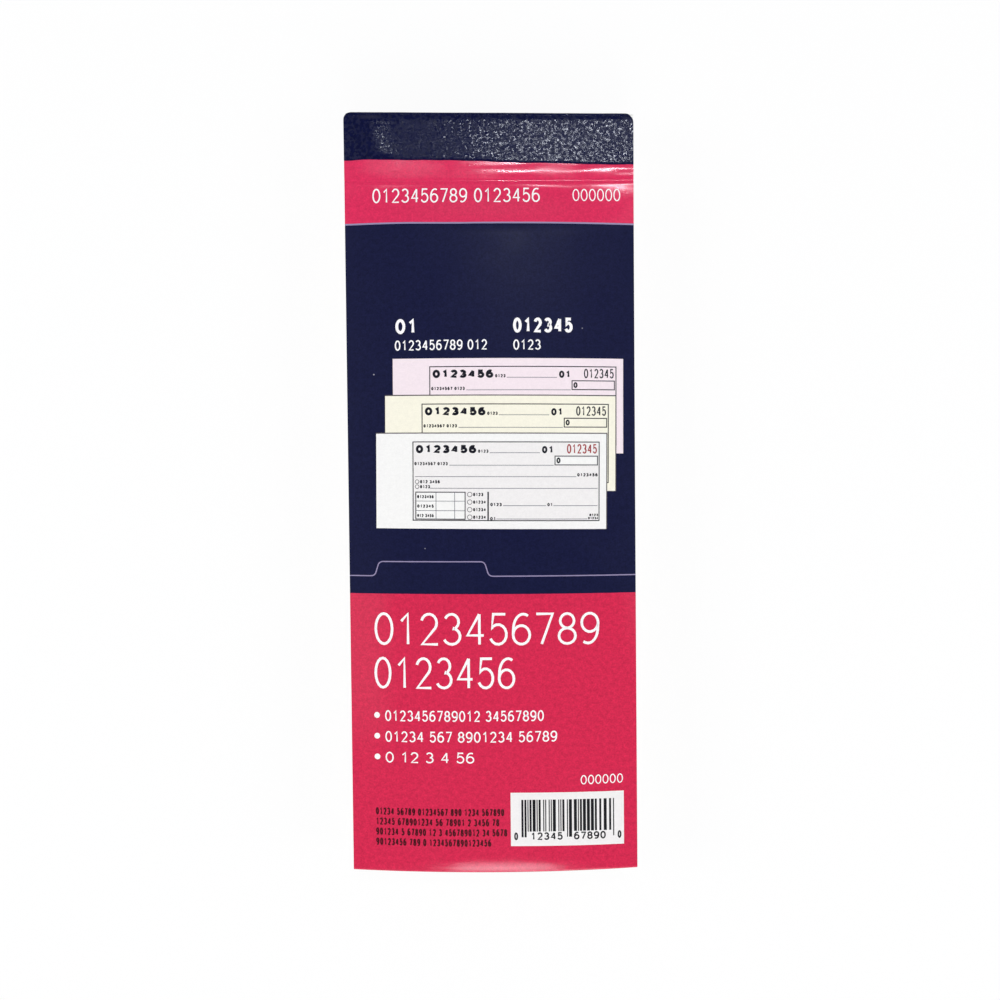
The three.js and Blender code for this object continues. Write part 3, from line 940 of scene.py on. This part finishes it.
def binding_tape():
    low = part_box("spine_tape")[0].z / MM
    share = np.linspace(-1, 1, 301)
    front = tape_front(share)
    # Each row: distance from the bound end, height, direction out of the tape, run along it
    rows = []
    quarter = np.linspace(0, pi / 2, 9)[1:]
    for t in np.linspace(0, 1, 60):
        d = front * (1 - t) + TAPE_ROUND * t
        rows.append((d, TAPE_TOP, (0, 1), -d))
    for a in quarter:
        rows.append((TAPE_ROUND * (1 - sin(a)), TAPE_TOP - TAPE_ROUND * (1 - cos(a)),
                     (sin(a), cos(a)), TAPE_ROUND * (a - 1)))
    side_start = TAPE_ROUND * (pi / 2 - 1)
    side_length = TAPE_TOP - low - 2 * TAPE_ROUND
    for t in np.linspace(0, 1, 50)[1:]:
        fallen = t * side_length
        rows.append((0, TAPE_TOP - TAPE_ROUND - fallen, (1, 0), side_start + fallen))
    side_end = side_start + side_length
    for a in quarter:
        rows.append((TAPE_ROUND * (1 - cos(a)), low + TAPE_ROUND * (1 - sin(a)),
                     (cos(a), -sin(a)), side_end + TAPE_ROUND * a))
    back_start = side_end + TAPE_ROUND * pi / 2
    for t in np.linspace(0, 1, 30)[1:]:
        d = TAPE_ROUND * (1 - t) + TAPE_BACK * t
        rows.append((d, low, (0, -1), back_start + d - TAPE_ROUND))
    outer, inner, flat = [], [], []
    for d, z, (out, up), run in rows:
        d, run = d + 0 * share, run + 0 * share
        x = bound_width(share, d)
        pebbles, hollows = grain(x, run)
        # Below, the tape stays within its solid, so that the book rests flat
        lift = pebbles + hollows if up >= 0 else np.minimum(pebbles - FLUSH, 0)
        if up > 0.99:
            inward = front - d
            pressed = PRESSED + PRESSED_EDGE * smooth(1 - inward / 0.45)
            loose = hollows * smooth(inward / 2.5) + buckle(x, d) * smooth(inward / 1.6)
            lift = pebbles + loose - pressed - SUNK_END * smooth(1 - d / 1.7)
        y = SPINE_Y - d + tape_bulge(share) * smooth(1 - d / 4)
        thick = TAPE_SHEET - np.minimum(lift, 0)
        outer.append(np.stack([x, y + out * lift, z + up * lift], -1))
        inner.append(np.stack([x, y - out * TAPE_SHEET, z - up * thick], -1))
        flat.append(np.stack([x, run], -1))
    outer, inner, flat = (np.array(a)[::-1] for a in (outer, inner, flat))
    tape = sheet("embossed_spine_tape", outer, inner, flat, [TAPE, CARD_EDGE, TAPE_EDGE])
    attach(tape, BLOCK)
    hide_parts("spine_tape")


# Pad

def bound_outline(half, spine_y, tail_y):
    """Plan outline of a leaf whose corners at the bound end are trimmed round."""
    outline = [(-half, tail_y), (half, tail_y)]
    for side, radius in ((1, RIGHT_CORNER), (-1, LEFT_CORNER)):
        centre_y = SPINE_Y - radius
        turn = asin(min(1, (spine_y - centre_y) / radius))
        corner = [(side * (half - radius + radius * cos(a)), centre_y + radius * sin(a))
                  for a in np.linspace(0, turn, 6)]
        outline += corner[::side]
    return outline


PLIES = (("white", WHITE_PAPER, WHITE_EDGE), ("canary", CANARY_PAPER, CANARY_EDGE),
         ("pink", PINK_PAPER, PINK_EDGE))
TURNING_SETS = ["receipt_set_02", "receipt_set_03", "receipt_set_04"]
FIXED = sorted(n for n in frame["nodes"]
               if n.startswith("receipt_set_") and n not in TURNING_SETS)
SETS = 50
PAD_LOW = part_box(FIXED[-1])[0].z / MM
PLY_PITCH = (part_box("bound_stubs")[0].z / MM - PAD_LOW) / (3 * len(FIXED))
# The rest of the pitch is air
PLY = PLY_PITCH * 0.97
# Misfit of the leaves: spread of their sideways shift, and of what their cut edges lack
SHIFT_SPREAD = 0.025
TAIL_SPREAD = 0.05
SIDE_SPREAD = 0.02


def fixed_pad():
    """Every leaf of the sets that stay down, each with its own small misfit at the edges."""
    rng = random.Random(11)
    for index, (colour, face, edge) in enumerate(PLIES):
        points, faces, kinds = [], [], []
        for number in range(len(FIXED)):
            level = PAD_LOW + (3 * number + 2 - index) * PLY_PITCH
            shift = rng.gauss(0, SHIFT_SPREAD)
            tail = PAD_TAIL_Y + abs(rng.gauss(0, TAIL_SPREAD))
            outline = bound_outline(HALF - abs(rng.gauss(0, SIDE_SPREAD)), PAPER_SPINE_Y, tail)
            outline = [(max(-HALF, min(HALF, x + shift)), y) for x, y in outline]
            first, n = len(points), len(outline)
            points += [(x, y, level) for x, y in outline]
            points += [(x, y, level + PLY) for x, y in outline]
            faces.append(tuple(first + i for i in range(n))[::-1])
            faces.append(tuple(first + n + i for i in range(n)))
            kinds += [0, 0]
            for i in range(n):
                j = (i + 1) % n
                faces.append((first + i, first + j, first + n + j, first + n + i))
                kinds.append(1)
        pile = add_mesh(f"{colour}_leaves", points, faces, [face, edge], kinds, False,
                        uv=np.array(points)[:, :2])
        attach(pile, BLOCK)
        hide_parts(*FIXED)


def leaf_stations():
    return stations((LEAF_START, 0), (CREASE - 2, 3.5), (CREASE + 5, 0.25), (CREASE + 16, 1.2),
                    (PAD_TAIL_D, (PAD_TAIL_D - CREASE - 16) / 15))


def turning_leaf(node, plies, level, height):
    """Leaves in place of one turning node of the frame: single plies or a set of three, bound stub
    included.
    """
    across = np.linspace(-HALF, HALF, 29)
    x, d = np.meshgrid(across, leaf_stations())
    for index, (colour, face, edge) in enumerate(plies):
        low = level + (len(plies) - 1 - index) * PLY_PITCH + bow(x, d, height)
        upper = np.stack([x, SPINE_Y - d, low + PLY], -1)
        lower = upper - (0, 0, PLY)
        flat = np.stack([x, d], -1)
        leaf = sheet(f"{node}_{colour}_leaf", upper, lower, flat, [face, face, edge])
        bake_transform(leaf)
        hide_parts(node, "bound_stubs")


# Perforation: distance past the crease, width of the cuts, their length and their pitch
PERFORATION = 3.0
CUT_WIDTH = 0.12
CUT = 0.8
CUT_PITCH = 1.3
LEAF_PEN = 0.6


def leaf_form(name, body, level, height, serial, number_ink):
    """The receipt form across a leaf, at full size: its left end is at the binding."""
    grow = (PAD_TAIL_D - CREASE - 4) / FORM_SIZE[0]
    top = lambda x, d: level + PLY + bow(x, d, height)
    place = lambda u, v: (HALF - 2.2 - v * grow * 0.98, CREASE + 2 + u * grow)
    inks = {"rules": GREY_INK, "dark": FORM_INK, "number": number_ink}
    for part, printed in form_print(serial, weight=LEAF_PEN).items():
        if part in inks:
            printed = printed.turned(place)
            piece = lay(f"{name}_{part}_print", printed, inks[part], top, LEAF_INK_LIFT)
            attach(piece, body)
    cuts = Print()
    line = CREASE + PERFORATION
    for x in np.arange(-HALF + 0.5, HALF - CUT, CUT_PITCH):
        cuts.box(x, x + CUT, line, line + CUT_WIDTH)
    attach(lay(f"{name}_perforation", cuts, GREY_INK, top, LEAF_INK_LIFT), body)


def turning_leaves():
    """The first set's three leaves and the next three sets. Only a top leaf's number is red."""
    single = ["white_original_01", "canary_copy_01", "pink_copy_01"]
    nodes = single + TURNING_SETS
    for i, node in enumerate(nodes):
        height = COVER_BOW * LEAF_BOW_SHARE * (1 - i / len(nodes))
        set_number = 1 if node in single else i - 1
        level = PAD_LOW + (SETS - set_number) * 3 * PLY_PITCH
        plies = PLIES
        if node in single:
            level += (2 - i) * PLY_PITCH
            plies = PLIES[i:i + 1]
        body = node + "_body"
        turning_leaf(node, plies, level, height)
        high = level + (len(plies) - 1) * PLY_PITCH
        number_ink = FORM_INK if node in single[1:] else RED_INK
        leaf_form(node, body, high, height, f"000{122 + set_number}", number_ink)
    high = PAD_LOW + (3 * len(FIXED) - 1) * PLY_PITCH
    leaf_form("receipt_set_05", BLOCK, high, 0.0, "000127", RED_INK)


# Stage, light and camera

SKY_SIDE = 0.95
SKY_TOP = 0.1
FLOOR_REACH = 1500
FLOOR_Z = -0.02
WHITE = (1, 1, 1)
DAYLIGHT = (0.88, 0.92, 1.0)
BOOK = (0, 0, 0.01)
# Area lights: name, place and aim in metres, width and length in metres, power in watts,
# colour. The big ones light the book, the windows and ceilings are what its gloss reflects.
LIGHTS = (
    ("left", (-0.72, 0.05, 0.5), BOOK, (0.35, 0.35), 2.27, WHITE),
    ("right", (0.72, -0.1, 0.5), BOOK, (0.35, 0.35), 1.88, WHITE),
    ("front", (0.05, -0.75, 0.5), BOOK, (0.35, 0.35), 1.45, WHITE),
    ("window_right", (0.109, 0.288, 0.61), (0.02, 0.08, 0.014), (0.036, 0.032), 0.3, DAYLIGHT),
    ("window_beside", (0.063, 0.295, 0.61), (0.02, 0.08, 0.014), (0.046, 0.05), 0.03, DAYLIGHT),
    ("window_middle", (0.0205, 0.29, 0.61), (0.0, 0.08, 0.014), (0.013, 0.028), 0.17, DAYLIGHT),
    ("window_left", (-0.08, 0.29, 0.61), (-0.02, 0.08, 0.014), (0.03, 0.03), 0.022, DAYLIGHT),
    ("window_sill", (0.046, 0.26, 0.61), (0.01, 0.08, 0.014), (0.05, 0.024), 0.16, DAYLIGHT),
    ("ceiling_front", (0.0, -0.6, 0.6), (0, -0.09, 0.014), (0.22, 0.16), 0.6, DAYLIGHT),
    ("ceiling_left", (-0.36, 0.0, 0.62), (-0.03, 0, 0.014), (0.5, 0.2), 0.16, WHITE),
    ("ceiling_right", (0.36, 0.1, 0.62), (0.03, 0, 0.014), (0.5, 0.2), 0.12, WHITE),
)


def add_light(name, at, aim, size, power, colour):
    data = bpy.data.lights.new(name, "AREA")
    data.energy = power
    data.color = colour
    data.shape = "RECTANGLE"
    data.size, data.size_y = size
    light = add_object(name, data)
    light.location = at
    direction = np.array(aim, float) - np.array(at, float)
    light.rotation_euler = Vector(direction).to_track_quat("-Z", "Y").to_euler()


def stage():
    """Pale floor: white to the camera and in reflections, with a faint shadow near the book."""
    material, tree, shader = new_material("pale_floor", 0.95, 0.0)
    shader.inputs["Base Color"].default_value = (0.95, 0.95, 0.95, 1)
    glow = add_node(tree, "ShaderNodeEmission", {"Color": (1, 1, 1, 1), "Strength": 1.0})
    ray = add_node(tree, "ShaderNodeLightPath").outputs
    seen = operate(tree, "ShaderNodeMath", "MAXIMUM", ray["Is Camera Ray"], ray["Is Glossy Ray"])[0]
    also = operate(tree, "ShaderNodeMath", "MAXIMUM", seen, ray["Is Transmission Ray"])[0]
    # The shadow near the book shows through the glow, which is full further away
    distance = operate(tree, "ShaderNodeVectorMath", "LENGTH", solid_coordinates(tree))["Value"]
    near = {"From Min": 0.2, "From Max": 1.0, "To Min": 0.9, "To Max": 1.0}
    pale = add_node(tree, "ShaderNodeMapRange", near, interpolation_type="SMOOTHSTEP")
    tree.links.new(distance, pale.inputs["Value"])
    share = operate(tree, "ShaderNodeMath", "MULTIPLY", also, pale.outputs["Result"])[0]
    show_mixed(tree, share, shader.outputs[0], glow.outputs[0], "Material Output")
    corners = ((-1, -1), (1, -1), (1, 1), (-1, 1))
    points = [(x * FLOOR_REACH, y * FLOOR_REACH, FLOOR_Z) for x, y in corners]
    floor = add_mesh("floor", points, [(0, 1, 2, 3)], [material], smooth_shaded=False)


def world():
    """Soft white room, dim overhead so that the flat glossy cover isn't veiled."""
    room = bpy.data.worlds.new("soft_room")
    bpy.context.scene.world = room
    room.use_nodes = True
    tree = room.node_tree
    sky = tree.nodes["Background"]
    sky.inputs["Color"].default_value = (1, 1, 1, 1)
    direction = add_node(tree, "ShaderNodeTexCoord").outputs["Generated"]
    parts = add_node(tree, "ShaderNodeSeparateXYZ")
    tree.links.new(direction, parts.inputs[0])
    fall = {"From Min": 0.35, "From Max": 0.85, "To Min": SKY_SIDE, "To Max": SKY_TOP}
    level = add_node(tree, "ShaderNodeMapRange", fall, interpolation_type="SMOOTHSTEP")
    tree.links.new(parts.outputs["Z"], level.inputs["Value"])
    tree.links.new(level.outputs["Result"], sky.inputs["Strength"])
    white = add_node(tree, "ShaderNodeBackground", {"Color": (1, 1, 1, 1), "Strength": 1.0})
    seen = add_node(tree, "ShaderNodeLightPath").outputs["Is Camera Ray"]
    show_mixed(tree, seen, sky.outputs[0], white.outputs[0], "World Output")


def camera():
    data = bpy.data.cameras.new("photo_camera")
    data.sensor_width = SENSOR
    data.lens = FOCAL_PIXELS * SENSOR / PHOTO_PIXELS
    data.clip_start, data.clip_end = 0.01, 10
    eye = add_object("photo_camera", data)
    eye.location = [v * MM for v in CAMERA_AT]
    eye.rotation_euler = CAMERA_TURN
    bpy.context.scene.camera = eye


cover_card()
shield_card()
cover_print()
binding_tape()
fixed_pad()
turning_leaves()
for node, material in (("back_cover", BOARD), ("staple_left", WIRE), ("staple_right", WIRE)):
    frame["nodes"][node].data.materials.clear()
    frame["nodes"][node].data.materials.append(material)
stage()
world()
for light in LIGHTS:
    add_light(*light)
camera()
bpy.context.scene.view_settings.view_transform = "Standard"
